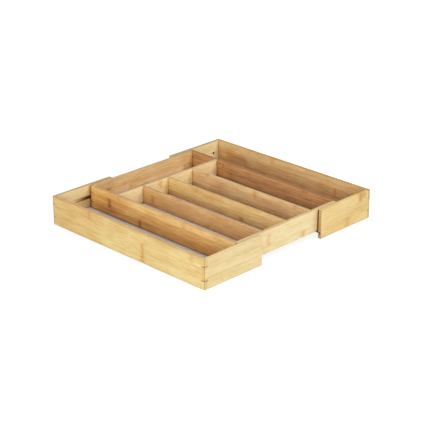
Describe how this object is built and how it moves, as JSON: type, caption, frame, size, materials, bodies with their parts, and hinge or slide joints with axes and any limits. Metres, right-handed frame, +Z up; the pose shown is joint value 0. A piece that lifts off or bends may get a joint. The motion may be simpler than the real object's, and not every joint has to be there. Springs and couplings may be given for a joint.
{
  "type": "cutlery tray",
  "caption": "Shallow tray for cutlery with long slots and one cross slot, widened by a sliding wing at each side; finger-jointed boards on thin floor panels.",
  "frame": {"origin": "centre of the footprint, on the table, with both wings pulled out", "axes": "+X the way the wings slide, to the right seen from the front; +Y along the slots, towards the cross slot; +Z up"},
  "size_m": [0.39, 0.355, 0.05],
  "materials": {
    "wing_bamboo": "satin lacquered bamboo",
    "pale_bamboo": "satin lacquered bamboo",
    "centre_bamboo": "satin lacquered bamboo",
    "caramel_bamboo": "satin lacquered bamboo",
    "floor_panel": "thin board faced off-white",
    "peg_wood": "plain wood"
  },
  "bodies": {
    "centre_tray": {"centre_front_wall": "pale_bamboo", "centre_rear_wall": "caramel_bamboo", "centre_left_wall": "centre_bamboo", "centre_right_wall": "caramel_bamboo", "centre_floor": "floor_panel", "cross_divider": "pale_bamboo", "left_divider": "centre_bamboo", "middle_divider": "centre_bamboo", "right_divider": "centre_bamboo", "front_left_peg": "peg_wood", "front_right_peg": "peg_wood", "rear_left_peg": "peg_wood", "rear_right_peg": "peg_wood"},
    "left_wing": {"left_wing_board": "wing_bamboo", "left_wing_front_arm": "pale_bamboo", "left_wing_rear_arm": "pale_bamboo", "left_wing_floor": "floor_panel"},
    "right_wing": {"right_wing_board": "wing_bamboo", "right_wing_front_arm": "pale_bamboo", "right_wing_rear_arm": "pale_bamboo", "right_wing_floor": "floor_panel"}
  },
  "joints": [
    {"name": "left_wing_slide", "type": "slide", "parent": "centre_tray", "child": "left_wing", "axis": [1, 0, 0], "range_m": [0, 0.0675]},
    {"name": "right_wing_slide", "type": "slide", "parent": "centre_tray", "child": "right_wing", "axis": [-1, 0, 0], "range_m": [0, 0.0675]}
  ]
}
